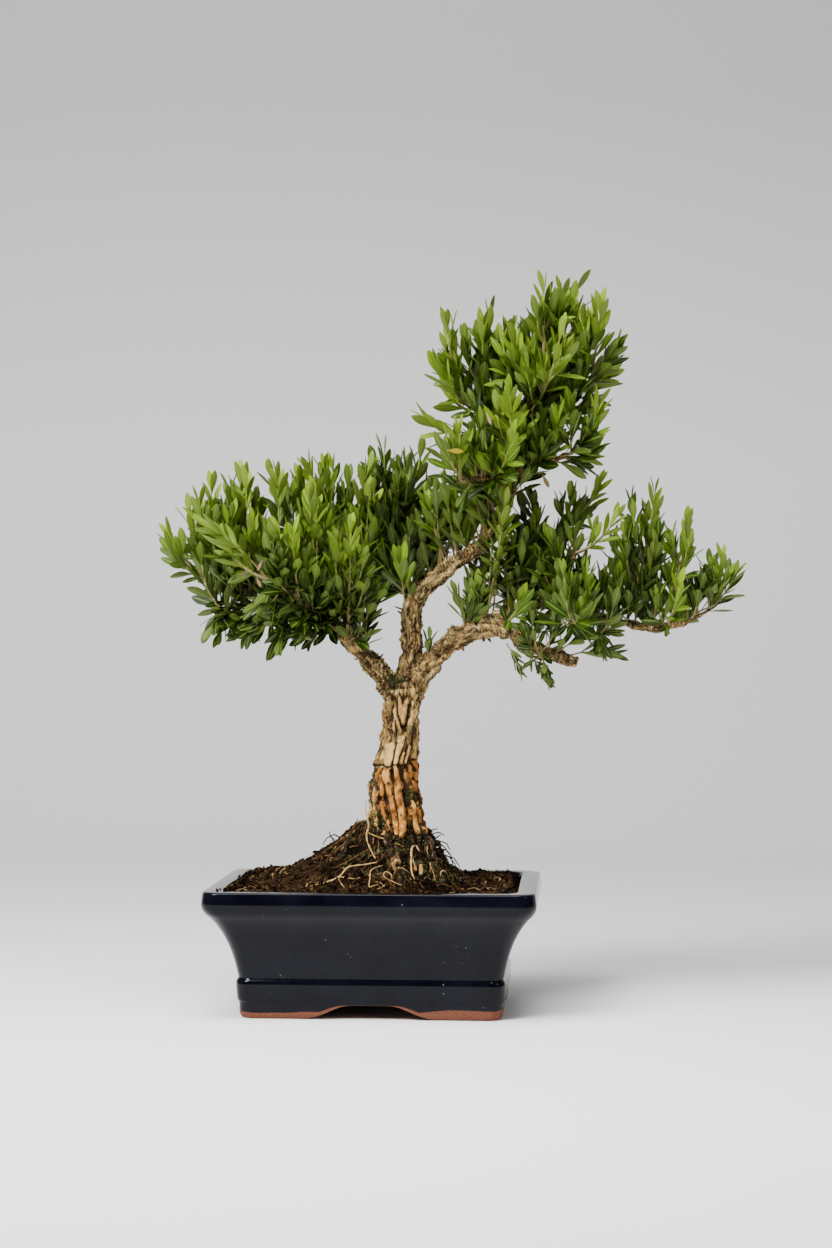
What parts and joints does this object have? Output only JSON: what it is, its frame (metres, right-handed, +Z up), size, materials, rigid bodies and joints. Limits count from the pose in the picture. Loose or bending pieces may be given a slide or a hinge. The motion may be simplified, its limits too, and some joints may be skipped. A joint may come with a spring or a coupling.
{
  "type": "bonsai tree in pot",
  "caption": "Small boxwood bonsai with a corky trunk and three leafy pads, rooted in a heap of soil in a glazed footed rectangular pot.",
  "frame": {"origin": "on the table, under the middle of the whole plant's extent; the pot's middle is about 46 mm to its left", "axes": "+Z up, +X along the pot's long side towards the long right-hand bough, +Y to the back of the pot"},
  "size_m": [0.3962, 0.168, 0.5007],
  "materials": {
    "navy_glaze": "near-black navy glossy glaze, bare terracotta at the feet",
    "black_mesh": "matte moulded mesh",
    "soil": "fibrous dark brown potting soil, matte",
    "corky_bark": "pale tan fissured corky bark, matte",
    "boxwood_leaf": "leathery semi-gloss leaf"
  },
  "bodies": {
    "root": {"pot": "navy_glaze", "drain_screen_left": "black_mesh", "drain_screen_right": "black_mesh", "soil": "soil", "trunk_and_boughs": "corky_bark", "left_spray_1": "boxwood_leaf", "left_spray_2": "boxwood_leaf", "left_spray_3": "boxwood_leaf", "left_spray_4": "boxwood_leaf", "left_spray_5": "boxwood_leaf", "left_spray_6": "boxwood_leaf", "left_spray_7": "boxwood_leaf", "left_spray_8": "boxwood_leaf", "left_spray_9": "boxwood_leaf", "left_spray_10": "boxwood_leaf", "left_spray_11": "boxwood_leaf", "left_spray_12": "boxwood_leaf", "left_spray_13": "boxwood_leaf", "left_spray_14": "boxwood_leaf", "left_spray_15": "boxwood_leaf", "left_spray_16": "boxwood_leaf", "middle_spray_1": "boxwood_leaf", "middle_spray_2": "boxwood_leaf", "middle_spray_3": "boxwood_leaf", "middle_spray_4": "boxwood_leaf", "top_spray_1": "boxwood_leaf", "top_spray_2": "boxwood_leaf", "top_spray_3": "boxwood_leaf", "top_spray_4": "boxwood_leaf", "top_spray_5": "boxwood_leaf", "top_spray_6": "boxwood_leaf", "top_spray_7": "boxwood_leaf", "top_spray_8": "boxwood_leaf", "top_spray_9": "boxwood_leaf", "top_spray_10": "boxwood_leaf", "top_spray_11": "boxwood_leaf", "top_spray_12": "boxwood_leaf", "top_spray_13": "boxwood_leaf", "top_spray_14": "boxwood_leaf", "top_spray_15": "boxwood_leaf", "top_spray_16": "boxwood_leaf", "right_spray_1": "boxwood_leaf", "right_spray_2": "boxwood_leaf", "right_spray_3": "boxwood_leaf", "right_spray_4": "boxwood_leaf", "right_spray_5": "boxwood_leaf", "right_spray_6": "boxwood_leaf", "right_spray_7": "boxwood_leaf", "right_spray_8": "boxwood_leaf", "right_spray_9": "boxwood_leaf", "right_spray_10": "boxwood_leaf", "right_spray_11": "boxwood_leaf", "right_spray_12": "boxwood_leaf", "right_spray_13": "boxwood_leaf", "right_spray_14": "boxwood_leaf"}
  },
  "joints": []
}
